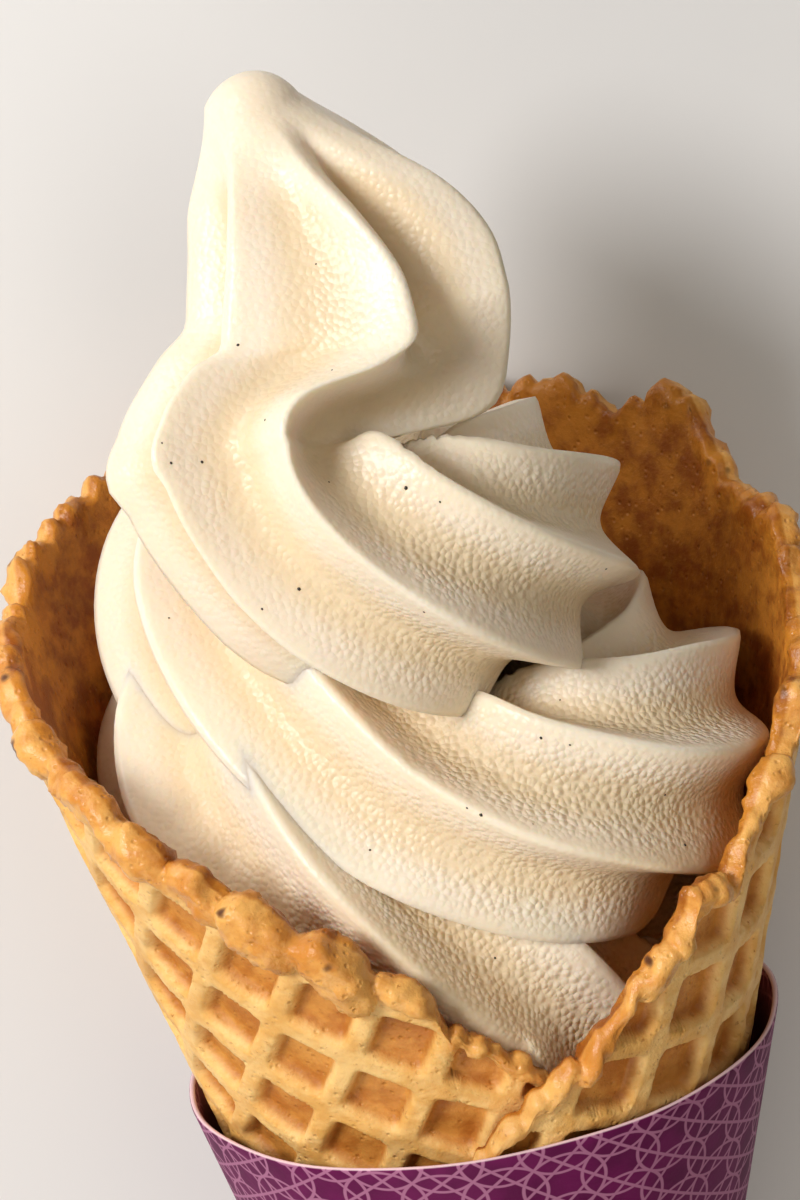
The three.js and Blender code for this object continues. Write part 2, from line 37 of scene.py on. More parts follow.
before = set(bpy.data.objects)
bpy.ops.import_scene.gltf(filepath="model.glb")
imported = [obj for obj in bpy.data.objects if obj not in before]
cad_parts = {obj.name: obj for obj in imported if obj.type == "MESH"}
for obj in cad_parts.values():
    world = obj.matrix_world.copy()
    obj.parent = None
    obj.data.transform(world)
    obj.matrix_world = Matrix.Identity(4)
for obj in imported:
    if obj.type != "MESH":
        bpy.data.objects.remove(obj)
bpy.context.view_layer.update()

# ------------------------------------------------------------------------------------------- shared sizes

HALF_ANGLE = math.radians(14)
SIN, COS = math.sin(HALF_ANGLE), math.cos(HALF_ANGLE)
SLOPE = SIN / COS

# The cone's tip: how far it lies from the lowest corner of the sleeve's solid, and its height on the table.
TIP_ACROSS, TIP_ALONG, TIP_RISE = 30.6, 3.395, 0.9
sleeve_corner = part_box("paper_sleeve")[0]
TIP = np.array([sleeve_corner.x * 1000 + TIP_ACROSS, sleeve_corner.y * 1000 + TIP_ALONG, TIP_RISE])

# The wafer is a round disc, rolled about a point of its own edge. Turns count from the back, where the rim is
# highest, and are positive to the left.
WAFER_DISC, WAFER_THICKNESS, WAFER_BACK = 173.0, 2.0, 101.0
LAYER_SHIFT, LAYER_TURN = 1.3, 150.0  # the ends stand out or in by this much, in full from this turn on
INNER_END, OUTER_END = 184.0, -197.0
SHEET_FOOT = 96 / COS  # the slant distance from the tip where the sheet begins, just inside the plain foot

SLEEVE_TIP, SLEEVE_TIP_RADIUS, SLEEVE_TOP, SLEEVE_RADIUS = -3.0, 1.4, 115.5, 30.4
SLEEVE_OFFSET = 0.8  # it stands a little off the cone's axis at the top
PAPER, SLEEVE_FLOOR, SLEEVE_GAP = 0.6, 1.0, 0.3
SLEEVE_SLANT = 4.0  # how far the mouth's sides drop below its front
SLEEVE_TILT = 1.0  # how much more its left side drops than that, and its right side less
PRINT_PITCH, PRINT_LINE = 5.2, 0.21


def turned_down(vectors):
    """Directions from the cone's frame to the table's."""
    x, y, z = np.asarray(vectors, float).T
    return np.stack([x, z * COS + y * SIN, z * SIN - y * COS], axis=-1)


def laid_down(points):
    """Points from the cone's frame in millimetres to the table's frame in metres."""
    return (turned_down(points) + TIP) / 1000


# ------------------------------------------------------------------------------------------- camera and light

VIEW_WIDTH, VIEW_HEIGHT = 800, 1200
# The camera faces a place this far right of and above one on the axis, and is raised and rolled.
CAMERA_AIM, CAMERA_SHIFT, CAMERA_DISTANCE = (0, 0, 150), (-1.7, 8.2), 321.1
CAMERA_RISE, CAMERA_ROLL = math.radians(21.92), math.radians(-8.89)
CAMERA_LENS, CAMERA_SENSOR, CAMERA_NEAR = 100, 36, 0.01

# Round soft lamps in the table's frame, in metres and watts: name, place, diameter, power, colour.
LAMP_AIM = (0, 0.04, 0.03)
LAMPS = [
    ("window", (-0.32, 0.23, 0.44), 0.20, 2.7, (1.0, 0.985, 0.99)),
    ("rake", (-0.30, 0.48, 0.18), 0.12, 0.6, (1.0, 0.98, 0.97)),
    ("room", (0.24, 0.08, 0.54), 0.35, 0.55, (1.0, 0.94, 0.85)),
    ("bounce", (-0.16, -0.40, 0.34), 0.35, 0.95, (1.0, 0.94, 0.86)),
]
SKY_COLOR, SKY_STRENGTH = (1.0, 0.95, 0.88, 1), 0.12


def add_camera():
    """The camera, in front of the lying cone and well above it."""
    back = np.array([0, -math.cos(CAMERA_RISE), math.sin(CAMERA_RISE)])
    right = np.array([1.0, 0, 0])
    up = np.cross(back, right)
    cos, sin = math.cos(CAMERA_ROLL), math.sin(CAMERA_ROLL)
    right, up = cos * right + sin * up, cos * up - sin * right
    shift = CAMERA_SHIFT[0] * right + CAMERA_SHIFT[1] * up
    place = np.array(CAMERA_AIM) + shift + CAMERA_DISTANCE * back
    data = bpy.data.cameras.new("camera")
    data.lens, data.sensor_width, data.clip_start = CAMERA_LENS, CAMERA_SENSOR, CAMERA_NEAR
    camera = bpy.data.objects.new("camera", data)
    bpy.context.scene.collection.objects.link(camera)
    columns = np.column_stack([turned_down([right])[0], turned_down([up])[0], turned_down([back])[0]])
    matrix = Matrix.Identity(4)
    for row in range(3):
        matrix[row][:3] = columns[row]
    matrix.translation = Vector(laid_down([place])[0])
    camera.matrix_world = matrix
    bpy.context.scene.camera = camera
    return camera


def add_light():
    """The lamps, and a faint warm sky all round."""
    for name, place, size, power, color in LAMPS:
        data = bpy.data.lights.new(name, "AREA")
        data.shape, data.size, data.energy, data.color = "DISK", size, power, color
        lamp = bpy.data.objects.new(name, data)
        bpy.context.scene.collection.objects.link(lamp)
        lamp.location = place
        lamp.rotation_euler = (Vector(LAMP_AIM) - Vector(place)).to_track_quat("-Z", "Y").to_euler()
    world = bpy.data.worlds.new("studio")
    world.use_nodes = True
    sky = world.node_tree.nodes["Background"]
    sky.inputs["Color"].default_value = SKY_COLOR
    sky.inputs["Strength"].default_value = SKY_STRENGTH
    bpy.context.scene.world = world
    bpy.context.scene.view_settings.view_transform = "Standard"


# ------------------------------------------------------------------------------------------- making pieces

WELD = 2e-6  # places of a skin that lie this close are one, in metres


def bump(distance):
    """A rounded bump of height 1 at 0 that is gone at distance 1."""
    return np.where(np.abs(distance) < 1, np.cos(np.clip(distance, -1, 1) * math.pi / 2) ** 2, 0)


def smooth(x, low, high):
    """0 at low, 1 at high and eased between them. Low may be the larger."""
    share = np.clip((x - low) / (high - low), 0, 1)
    return share * share * (3 - 2 * share)


def skin(across, along, shape, layers=(), uv=False):
    """A skin of quads laid by shape(f, g), f and g from 0 to 1, which gives points in the cone's frame,
    values for the named layers and places on the flat pattern. Edges that meet are joined."""
    bm = bmesh.new()
    bmesh.ops.create_grid(bm, x_segments=across, y_segments=along, size=0.5)
    places = np.array([(v.co.x, v.co.y) for v in bm.verts]) + 0.5
    points, values, pattern = shape(places[:, 0], places[:, 1])
    points = laid_down(points)
    keys = [bm.verts.layers.float.new(layer) for layer in layers]
    for i, v in enumerate(bm.verts):
        v.co = points[i]
        for key, value in zip(keys, values):
            v[key] = float(value[i])
    if uv:
        bm.verts.index_update()
        flat = bm.loops.layers.uv.new("pattern")
        for face in bm.faces:
            for loop in face.loops:
                loop[flat].uv = pattern[loop.vert.index]
    bmesh.ops.remove_doubles(bm, verts=bm.verts, dist=WELD)
    return bm


def close_holes(bm):
    """Fills the open ends of a skin."""
    bmesh.ops.holes_fill(bm, edges=[e for e in bm.edges if e.is_boundary])


def finished(name, bm, material):
    """The smooth-shaded piece made of this mesh, which rides on the part's one body."""
    bmesh.ops.recalc_face_normals(bm, faces=bm.faces)
    for face in bm.faces:
        face.smooth = True
    mesh = bpy.data.meshes.new(name)
    bm.to_mesh(mesh)
    bm.free()
    mesh.materials.append(material)
    piece = bpy.data.objects.new(name, mesh)
    bpy.context.scene.collection.objects.link(piece)
    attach(piece, "root")
    return piece


# ------------------------------------------------------------------------------------------- shader nodes

# Patterns lie on Object coordinates, in metres, so a scale of 1000 repeats about every millimetre.


def feed(material, socket, value):
    """Gives a socket a number or a colour, or links another node's output to it."""
    if isinstance(value, bpy.types.NodeSocket):
        material.node_tree.links.new(value, socket)
    else:
        socket.default_value = value


def put(material, kind, settings=None, **inputs):
    """A shader node with its settings and inputs. An input is named, or numbered as _0 where names repeat."""
    node = material.node_tree.nodes.new("ShaderNode" + kind)
    for key, value in (settings or {}).items():
        setattr(node, key, value)
    for key, value in inputs.items():
        socket = node.inputs[int(key[1:])] if key[0] == "_" else node.inputs[key.replace("_", " ")]
        feed(material, socket, value)
    return node


def new_material(name, roughness, **sockets):
    """A new material and its shader, with values on the shader's own sockets."""
    material = bpy.data.materials.new(name)
    material.use_nodes = True
    shader = material.node_tree.nodes["Principled BSDF"]
    shader.inputs["Roughness"].default_value = roughness
    for key, value in sockets.items():
        shader.inputs[key.replace("_", " ")].default_value = value
    return material, shader


def math_node(material, operation, a, b=0.0, c=0.0):
    return put(material, "Math", {"operation": operation}, _0=a, _1=b, _2=c).outputs[0]


def times(material, a, b):
    return math_node(material, "MULTIPLY", a, b)


def times_plus(material, a, b, c):
    """a times b, plus c."""
    return math_node(material, "MULTIPLY_ADD", a, b, c)


def level(material, value, low, high):
    """0 at low, 1 at high and eased between them."""
    settings = {"interpolation_type": "SMOOTHSTEP"}
    return put(material, "MapRange", settings, Value=value, From_Min=low, From_Max=high).outputs[0]


def blend_colours(material, share, a, b):
    """Colour a where the share is 0 and b where it is 1."""
    settings = {"data_type": "RGBA", "clamp_factor": True}
    return put(material, "Mix", settings, _0=share, _6=a, _7=b).outputs[2]


def on_piece(material):
    """The place on the piece, which the patterns follow."""
    return put(material, "TexCoord").outputs["Object"]


def layer_value(material, layer):
    """The value that a piece's skin holds in this layer."""
    return put(material, "Attribute", {"attribute_name": layer}).outputs["Fac"]


def clouds(material, place, scale, detail=2.0, roughness=0.5):
    """Soft random patches, mostly between 0.3 and 0.7."""
    node = put(material, "TexNoise", Vector=place, Scale=scale, Detail=detail, Roughness=roughness)
    return node.outputs["Fac"]


def cells(material, place, scale):
    """Small rounded dimples, 0 in the middle of each."""
    return put(material, "TexVoronoi", Vector=place, Scale=scale).outputs["Distance"]


def add_relief(material, shader, height, strength, depth, invert=False):
    """Relief too fine for the mesh, at most this deep in metres."""
    relief = put(material, "Bump", {"invert": invert}, Strength=strength, Distance=depth, Height=height)
    feed(material, shader.inputs["Normal"], relief.outputs["Normal"])


# ------------------------------------------------------------------------------------------- materials

CREAM, PALE_CREAM = (0.865, 0.74, 0.56, 1), (0.88, 0.77, 0.61, 1)
# The second pair: painted shade for the grooves, and a painted warm glow for the cream near the wafer.
SHADED_GROOVE_CREAM, GLOW_CREAM = (0.79, 0.63, 0.41, 1), (0.87, 0.64, 0.36, 1)
CREAM_ROUGHNESS, GRAIN_ROUGHNESS = 0.32, 0.14  # of the crests, and how much rougher the grain is
CREST_GRAIN, EVEN_GRAIN = 0.12, 0.45  # the least share of the grain on the crests and between its patches

SEED_BLACK, SEED_BROWN = (0.010, 0.008, 0.007, 1), (0.045, 0.032, 0.022, 1)

# Lightly and darkly baked, on the ribs of the waffle pattern, its pockets, the rim and the inner face; the
# pockets are darker in part with painted shade, the inner face with painted shade.
RIB_LIGHT, RIB_DARK = (0.90, 0.57, 0.205, 1), (0.78, 0.41, 0.10, 1)
POCKET_LIGHT, POCKET_DARK = (0.66, 0.29, 0.055, 1), (0.46, 0.155, 0.02, 1)
RIM_LIGHT, RIM_DARK = (0.80, 0.39, 0.085, 1), (0.58, 0.20, 0.022, 1)
INNER_SHADED_PALE, INNER_SHADED_DEEP = (0.60, 0.23, 0.025, 1), (0.30, 0.08, 0.006, 1)
FRECKLE, SCORCHED = (0.42, 0.15, 0.02, 1), (0.10, 0.03, 0.008, 1)
WAFER_ROUGHNESS, RIM_SHEEN = 0.52, -0.20

PLUM, WORN_PLUM = (0.100, 0.002, 0.050, 1), (0.140, 0.004, 0.072, 1)
PRINT_COLOR, PRINT_COVER = (0.44, 0.17, 0.29, 1), 0.85
# The lining's dark colour is painted shade inside the sleeve.
SHADED_LINING, CUT_EDGE = (0.16, 0.05, 0.06, 1), (0.80, 0.58, 0.62, 1)

TABLE_COLOR = (0.72, 0.71, 0.69, 1)


def ice_cream_material():
    """Cream that light sinks into, with painted shade in the grooves and a painted warm glow near the wafer."""
    material, shader = new_material(
        "frozen_cream",
        0.42,
        Subsurface_Weight=0.35,
        Subsurface_Radius=(1.0, 0.62, 0.32),
        Subsurface_Scale=0.0030,
        Specular_IOR_Level=0.34,
    )
    place = on_piece(material)
    groove = layer_value(material, "groove")
    pale = level(material, clouds(material, place, 55.0, detail=3.0), 0.35, 0.65)
    color = blend_colours(material, pale, CREAM, PALE_CREAM)
    # painted shade: darker, warmer cream deep in the grooves
    color = blend_colours(material, level(material, groove, 0.45, 1.0), color, SHADED_GROOVE_CREAM)
    # a painted warm glow near the wafer
    color = blend_colours(material, layer_value(material, "painted_glow"), color, GLOW_CREAM)
    feed(material, shader.inputs["Base Color"], color)
    # a fine grain like orange peel, stronger in the grooves and low down, and nearly gone on the crests
    peel = level(material, cells(material, place, 1500.0), 0.0, 0.85)
    fine = clouds(material, place, 2400.0, detail=1.0)
    patches = level(material, clouds(material, place, 75.0), 0.3, 0.7)
    patches = times_plus(material, patches, 1 - EVEN_GRAIN, EVEN_GRAIN)
    share = times(material, level(material, groove, 0.0, 0.75), layer_value(material, "grain"))
    share = times_plus(material, times(material, share, patches), 1 - CREST_GRAIN, CREST_GRAIN)
    height = times(material, times_plus(material, fine, 0.3, peel), share)
    add_relief(material, shader, height, 0.55, 0.0005, invert=True)
    gloss = times_plus(material, share, GRAIN_ROUGHNESS, CREAM_ROUGHNESS)
    feed(material, shader.inputs["Roughness"], gloss)
    return material


def seed_material():
    """Nearly black, flecked with brown."""
    material, shader = new_material("vanilla_seed", 0.45)
    shade = clouds(material, on_piece(material), 4000.0)
    feed(material, shader.inputs["Base Color"], blend_colours(material, shade, SEED_BLACK, SEED_BROWN))
    return material


def wafer_material():
    """Unevenly baked batter: pale ribs, dark pockets in part painted shade, a toasted rim, an inner face dark
    with painted shade, and freckles, scorches and pores.
    """
    material, shader = new_material(
        "baked_wafer",
        0.5,
        Subsurface_Weight=0.12,
        Subsurface_Radius=(1.0, 0.5, 0.2),
        Subsurface_Scale=0.002,
        Specular_IOR_Level=0.4,
    )
    place = on_piece(material)
    pocket, rim = layer_value(material, "pocket"), layer_value(material, "rim")
    blotch = clouds(material, place, 120.0, detail=4.0, roughness=0.6)
    mottle = clouds(material, place, 420.0, detail=4.0, roughness=0.6)
    speckle = clouds(material, place, 1500.0, detail=4.0, roughness=0.65)
    baked = times_plus(material, mottle, 0.5, times(material, blotch, 0.6))
    baked = level(material, baked, 0.44, 0.66)
    ribs = blend_colours(material, baked, RIB_LIGHT, RIB_DARK)
    pockets = blend_colours(material, baked, POCKET_LIGHT, POCKET_DARK)
    toasted = blend_colours(material, baked, RIM_LIGHT, RIM_DARK)
    inner = blend_colours(material, baked, INNER_SHADED_PALE, INNER_SHADED_DEEP)
    # the pockets are darker, in part with painted shade
    color = blend_colours(material, level(material, pocket, 0.25, 0.9), ribs, pockets)
    color = blend_colours(material, times(material, rim, 0.8), color, toasted)
    # painted shade: the inner face, inside the cone, is darker
    color = blend_colours(material, layer_value(material, "inside"), color, inner)
    color = blend_colours(material, level(material, speckle, 0.60, 0.78), color, FRECKLE)
    scorch = level(material, clouds(material, place, 330.0, detail=1.0), 0.70, 0.80)
    color = blend_colours(material, times(material, scorch, rim), color, SCORCHED)
    feed(material, shader.inputs["Base Color"], color)
    pores = times(material, level(material, cells(material, place, 900.0), 0.0, 0.28), 0.7)
    height = times_plus(material, speckle, 0.5, times_plus(material, mottle, 0.8, pores))
    add_relief(material, shader, height, 0.5, 0.0005)
    feed(material, shader.inputs["Roughness"], times_plus(material, rim, RIM_SHEEN, WAFER_ROUGHNESS))
    return material


def print_distance(material):
    """The distance on the flat paper to the nearest line of a lattice of circles and diamonds."""
    flat = put(material, "UVMap", {"uv_map": "pattern"}).outputs["UV"]
    parts = put(material, "SeparateXYZ", Vector=flat)
    half, ring_radius = PRINT_PITCH / 2, PRINT_PITCH / math.sqrt(2)
    a = math_node(material, "PINGPONG", parts.outputs["X"], half)
    b = math_node(material, "PINGPONG", parts.outputs["Y"], half)
    rings = []
    for near, far in ((a, b), (b, a)):
        across = math_node(material, "SUBTRACT", PRINT_PITCH, near)
        square = times_plus(material, far, far, times(material, across, across))
        ring = math_node(material, "SUBTRACT", math_node(material, "SQRT", square), ring_radius)
        rings.append(math_node(material, "ABSOLUTE", ring))
    diamond = math_node(material, "SUBTRACT", math_node(material, "ADD", a, b), half)
    diamond = times(material, math_node(material, "ABSOLUTE", diamond), 1 / math.sqrt(2))
    return math_node(material, "MINIMUM", math_node(material, "MINIMUM", *rings), diamond)


def paper_material():
    """Plum paper with thin pale circles and diamonds, a pale cut edge, and an inner face dark with painted
    shade.
    """
    material, shader = new_material("printed_paper", 0.6, Specular_IOR_Level=0.18)
    line = level(material, print_distance(material), PRINT_LINE, PRINT_LINE * 0.45)
    place = on_piece(material)
    wear = level(material, clouds(material, place, 260.0, detail=4.0), 0.3, 0.7)
    color = blend_colours(material, wear, PLUM, WORN_PLUM)
    color = blend_colours(material, times(material, line, PRINT_COVER), color, PRINT_COLOR)
    # painted shade on the paper's inner face
    color = blend_colours(material, layer_value(material, "lining"), color, SHADED_LINING)
    color = blend_colours(material, layer_value(material, "cut_edge"), color, CUT_EDGE)
    feed(material, shader.inputs["Base Color"], color)
    fibres = clouds(material, place, 1800.0, detail=3.0)
    add_relief(material, shader, fibres, 0.15, 0.0002)
    return material


def table_material():
    """The plain pale floor."""
    material, shader = new_material("pale_table", 0.7)
    shader.inputs["Base Color"].default_value = TABLE_COLOR
    return material


# ------------------------------------------------------------------------------------------- the wafer

# The square waffle pattern on the flat wafer. Its axes are turned, and one pocket's middle lies here.
PITCH, WAFFLE_TURN, POCKET_PLACE = 8.0, math.radians(23.8), (71.1, 125.7)
POCKET_DEPTH, POCKET_HALF, RIB_SLOPE = 1.45, 2.4, 0.8

# Broken and risen places of the rim: turn, height over the plain rim, half width.
CRAGS = [
    (-60, 4.5, 11), (-97, -2, 10), (-106, -6, 9), (-123, 4, 8), (-138, -4, 7), (-152, 3, 8), (80, -3, 14),
    (110, 3, 12), (145, 2.2, 24),
]
# Blisters of batter on the rim: turn, half width, height over the plain rim, half height, bulge.
BLISTERS = [
    (129.5, 3.6, 2.8, 2.6, 1.0), (137.8, 6.0, 3.6, 3.6, 1.7), (148.6, 5.9, 4.0, 4.0, 1.9),
    (159.5, 5.4, 3.4, 1.6, 0.8), (118, 4.5, 2.6, 2.6, 0.8), (107, 4.0, 2.2, 2.2, 0.7),
    (97, 3.4, 2.0, 2.4, 0.9), (-88, 4, 2, 2.4, 0.9), (-131, 3, 2, 2.2, 0.8), (-160, 4, 1.5, 2.2, 0.7),
]
# Waves of the rim: waves in a full turn, phase, height. The frill is weaker near the lap.
RIPPLE = [(15, 0, 0.6), (26, 40, 0.4)]
FRILL = [(61, 40, 0.4), (97, 150, 0.2), (141, 20, 0.08)]
FRILL_FADE, LAP_FRILL = 22, 0.7

# The puffed edge: its thickness, its lumps, and how far down it reaches. The outer end is thick to its edge.
EDGE_THICK, EDGE_LUMPS, EDGE_REACH = 0.28, 0.42, 2.4
OUTER_LAP, INNER_LAP, LAP_THICK = 26, 30, 0.9
INNER_SHARE = 0.4  # of the edge's swelling, on its inner side
TOAST_REACH, POCKETS_BEGIN = 2.2, (0.7, 1.9)  # below the edge
END_TURN = 1.4  # both ends of the sheet are rounded off over this turn
END_THICKNESS = 0.25  # the share of the thickness that is left at the very end

# The plain foot: how far its faces lie inside the cone, and the heights of its tip, floor and top.
FOOT_INSIDE, FOOT_OUTSIDE = 2.75, 1.6
FOOT_LOW, FOOT_FLOOR, FOOT_TOP = 13, 14, 100


def waves(turn, rows):
    """The sum of these waves round the wafer."""
    return sum(height * np.sin(np.radians(turn * count + phase)) for count, phase, height in rows)


def stand_out(turn):
    """How far the wafer stands out of the plain cone, to the one end, or in, to the other."""
    return -LAYER_SHIFT * np.clip(turn / LAYER_TURN, -1, 1) ** 3


def rolled(turn, slant, depth):
    """A point of the rolled wafer, at a slant distance from the tip and a depth under its outer face."""
    azimuth = np.radians(turn + WAFER_BACK)
    out = stand_out(turn) - depth
    radius = slant * SIN + out * COS
    return np.stack([radius * np.cos(azimuth), radius * np.sin(azimuth), slant * COS - out * SIN], axis=1)


def plain_rim(turn):
    """The edge of the round disc, unbroken."""
    return WAFER_DISC * np.cos(np.radians(turn) * SIN)


def rim_slant(turn):
    """The edge of the wafer, as a slant distance from the tip."""
    crags = sum(height * bump((turn - at) / width) for at, height, width in CRAGS)
    lobes = [height * np.sqrt(np.clip(1 - ((turn - at) / width) ** 2, 0, 1))
             for at, width, height, _, _ in BLISTERS]
    blistered = np.max(lobes, axis=0)
    near_lap = bump((turn - INNER_END) / FRILL_FADE)
    uneven = waves(turn, RIPPLE) + waves(turn, FRILL) * (1 - LAP_FRILL * near_lap)
    even_out = 1 - 0.6 * np.clip(blistered / 3, 0, 1)  # a high blister is rounder than the rim beside it
    return plain_rim(turn) + np.maximum(crags, blistered) + uneven * even_out


def pocket_depth(turn, slant):
    """0 on the ribs of the waffle pattern and 1 on the floors of its square pockets."""
    angle = np.radians(turn) * SIN
    u, v = slant * np.sin(angle) - POCKET_PLACE[0], slant * np.cos(angle) - POCKET_PLACE[1]
    a = (u * math.cos(WAFFLE_TURN) + v * math.sin(WAFFLE_TURN)) / PITCH
    b = (v * math.cos(WAFFLE_TURN) - u * math.sin(WAFFLE_TURN)) / PITCH
    a, b = np.abs(a - np.rint(a)) * PITCH, np.abs(b - np.rint(b)) * PITCH
    from_middle = (a**8 + b**8) ** (1 / 8)
    return 1 - smooth(from_middle, POCKET_HALF, POCKET_HALF + RIB_SLOPE)


def blister_bulge(turn, slant):
    """How far the blisters swell out of the rim."""
    bulge = np.zeros_like(turn)
    for at, width, up, height, out in BLISTERS:
        away = ((turn - at) / width) ** 2 + ((slant - plain_rim(turn) - up + height * 0.75) / height) ** 2
        bulge = np.maximum(bulge, out * np.sqrt(np.clip(1 - away, 0, 1)))
    return bulge


def make_wafer(material):
    """The rolled sheet above its foot, laid up the outer face, round the rim and down the inner face."""
    columns, outer_rows, edge_rows, inner_rows = 620, 130, 10, 16
    total = outer_rows + edge_rows + inner_rows
    end_columns = 5  # of each rounded end
    across = INNER_END - OUTER_END
    half = WAFER_THICKNESS / 2

    def shape(f, g):
        # the columns lie closer together in the rounded ends
        near_end = end_columns / columns
        turn = OUTER_END + across * np.interp(f, [0, near_end, 1 - near_end, 1], [
            0, END_TURN / across, 1 - END_TURN / across, 1])
        row = np.rint(g * total)
        rim = rim_slant(turn)
        outer = np.clip(row / outer_rows, 0, 1)
        edge = np.clip((row - outer_rows) / edge_rows, 0, 1)
        inner = np.clip((row - outer_rows - edge_rows) / (inner_rows - 1), 0, 1)
        # straight up the outer face, round the edge in a half circle and down the inner face
        reach = rim - half - SHEET_FOOT
        slant = np.where(row <= outer_rows, SHEET_FOOT + reach * outer, rim - half - reach * inner**1.5)
        arc = edge * math.pi
        slant = slant + half * np.sin(arc)
        depth = half * (1 - np.cos(arc))
        is_outer = row <= outer_rows + edge_rows / 2
        # a slightly thickened, lumpy edge, thin where the other end of the sheet lies against it
        below = rim - half - slant
        lumps = waves(turn, [(37, 0, 1)]) * waves(turn, [(23, 50, 1)]) + waves(turn, [(83, 60, 0.4)])
        lap = bump((turn - OUTER_END) / OUTER_LAP)
        thick = EDGE_THICK + EDGE_LUMPS * np.clip(lumps, -0.4, 1)
        thick = thick * (1 - bump((turn - INNER_END) / INNER_LAP)) * (1 - lap)
        above_sleeve = smooth(slant * COS, SLEEVE_TOP - 1, SLEEVE_TOP + 5)
        edging = (thick + LAP_THICK * lap) * smooth(below, EDGE_REACH + lap, 0.2) * above_sleeve
        blister = blister_bulge(turn, slant)
        bulge = np.maximum(edging, blister) * np.where(is_outer, 1, INNER_SHARE)
        pocket = np.where(is_outer, pocket_depth(turn, slant), 0) * smooth(below, *POCKETS_BEGIN) * (arc == 0)
        pocket = pocket * (1 - np.clip(blister / 0.5, 0, 1))
        depth = depth + POCKET_DEPTH * pocket - np.cos(arc) * bulge
        from_end = np.clip(np.minimum(turn - OUTER_END, INNER_END - turn) / END_TURN, 0, 1)
        rounded = END_THICKNESS + (1 - END_THICKNESS) * np.sqrt(1 - (1 - from_end) ** 2)
        depth = half + (depth - half) * rounded
        # the last row meets the first
        last = g >= 1
        slant, depth = np.where(last, SHEET_FOOT, slant), np.where(last, 0, depth)
        toast = smooth(below, TOAST_REACH, 0.2) * (1 - 0.8 * lap)
        toast = np.maximum(toast, np.clip(blister / 0.6, 0, 1))
        return rolled(turn, slant, depth), (pocket, toast, np.where(is_outer, 0.0, 1.0)), None

    bm = skin(columns, total, shape, ("pocket", "rim", "inside"))
    close_holes(bm)
    bmesh.ops.recalc_face_normals(bm, faces=bm.faces)
    bm.normal_update()
    rim_key = bm.verts.layers.float["rim"]
    # a fine unevenness all over, and lumps and bubbles on the rim, up to 0.8 and 0.5 mm high
    for v in bm.verts:
        fine = noise.fractal(v.co * 420, 0.8, 2.0, 3) * 0.0001
        lumps = noise.noise(v.co * 230 + Vector((2, 7, 1))) * (0.0001 + 0.0007 * v[rim_key])
        bubbles = noise.noise(v.co * 560 + Vector((1, 3, 5))) + abs(noise.noise(v.co * 1100))
        v.co += v.normal * (fine + lumps + bubbles * 0.0005 * v[rim_key])
    wafer = finished("wafer", bm, material)
    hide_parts("waffle_cone")


def make_wafer_foot(material):
    """The plain lower part of the wafer, in the sleeve."""
    profile = np.array([
        (0, FOOT_FLOOR), (FOOT_FLOOR * SLOPE - FOOT_INSIDE, FOOT_FLOOR),
        (FOOT_TOP * SLOPE - FOOT_INSIDE, FOOT_TOP), (FOOT_TOP * SLOPE - FOOT_OUTSIDE, FOOT_TOP),
        (FOOT_OUTSIDE, FOOT_LOW), (0, FOOT_LOW),
    ])
    rows_each = 6  # for each side of the outline

    def shape(f, g):
        place = g * (len(profile) - 1)
        i = np.clip(np.floor(place + 1e-9).astype(int), 0, len(profile) - 2)
        part = (place - i)[:, None]
        radius, height = (profile[i] * (1 - part) + profile[i + 1] * part).T
        radius = np.maximum(radius, 0)
        azimuth = f * 2 * math.pi
        zero = np.zeros_like(f)
        points = np.stack([radius * np.cos(azimuth), radius * np.sin(azimuth), height], axis=1)
        return points, (zero, zero, zero), None

    bm = skin(72, rows_each * (len(profile) - 1), shape, ("pocket", "rim", "inside"))
    foot = finished("wafer_foot", bm, material)
    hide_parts("waffle_cone")


# ------------------------------------------------------------------------------------------- the rope's path

# How the hand led the rope round: turn from the front, centre x and y, radius of the coil, height of the
# rope's middle, radius of the rope, twist.
COIL = np.array([
    (-900, -0.1, -0.8, 13.5, 102.3, 15.4, -14),
    (-810, 0.6, -1.4, 12.6, 112, 15.1, -6),
    (-720, 0.3, -2.5, 12.1, 124.4, 15.5, 2),
    (-630, 0, -0.5, 18.4, 142.6, 15.4, 0),
    (-540, -0.2, -2.5, 19.7, 143.2, 14.7, -3),
    (-450, 1, -2.5, 20.5, 141, 14, 2),
    (-360, -1, 0.5, 11.5, 143.5, 13.8, 6),
    (-270, -3, 7.5, 13.5, 157.5, 14.2, 8),
    (-180, -2.5, 5.5, 12.5, 161, 13.7, 6),
    (-90, -0.5, 2, 11, 162.7, 13.4, 3),
    (0, 0.5, -3, 9, 166.4, 13.4, 3),
    (90, -3.5, -7.5, 6.7, 175.7, 14.2, 2),
])
ROW_TURN, COIL_STEP = 90, 30  # between those rows, and between the steps that the rope is laid by
# Places where the rope strays from those rows: turn, span, rise, twist.
SWAYS = [(-780, 75, -8, 0), (-475, 62, -1, 28)]

# The lift between the coil and the peak starts at this step of the coil, and the places of its ridges in turn
# are given in three sections.
LIFT_FROM = 31.5
LIFT_RIDGES = np.array([
    [(-8.2, -20.5, 183.7), (-2.4, -12.5, 180), (0, -3.5, 176), (-4, 6, 172),
     (-14.5, 3, 169), (-24.6, -9.5, 176.3), (-19.8, -19, 181.4)],
    [(-6, -18.5, 186.9), (3.2, -8.5, 178.5), (6, 1, 176.5), (-2.5, 10, 177),
     (-14, 7, 176), (-23.2, -6.5, 182.3), (-18.8, -16.5, 186)],
    [(1.3, -15.5, 187.8), (11.4, -5.2, 179.2), (10.5, 4.5, 181), (0, 12.7, 183),
     (-12, 9.8, 184), (-18.9, -3.5, 187.2), (-15.6, -13, 189)],
])

# The peak, drawn straight up in level sections: x, y, height, radius, twist.
PEAK = np.array([
    (-1.6, -0.9, 190, 14.2, 4),
    (-1.6, 1.1, 194.5, 13.3, 5),
    (-2.6, 2.8, 199, 11.5, 4),
    (-4.5, 4.4, 203.4, 8.5, 2),
    (-6.7, 5.7, 207.6, 5.1, 2),
])
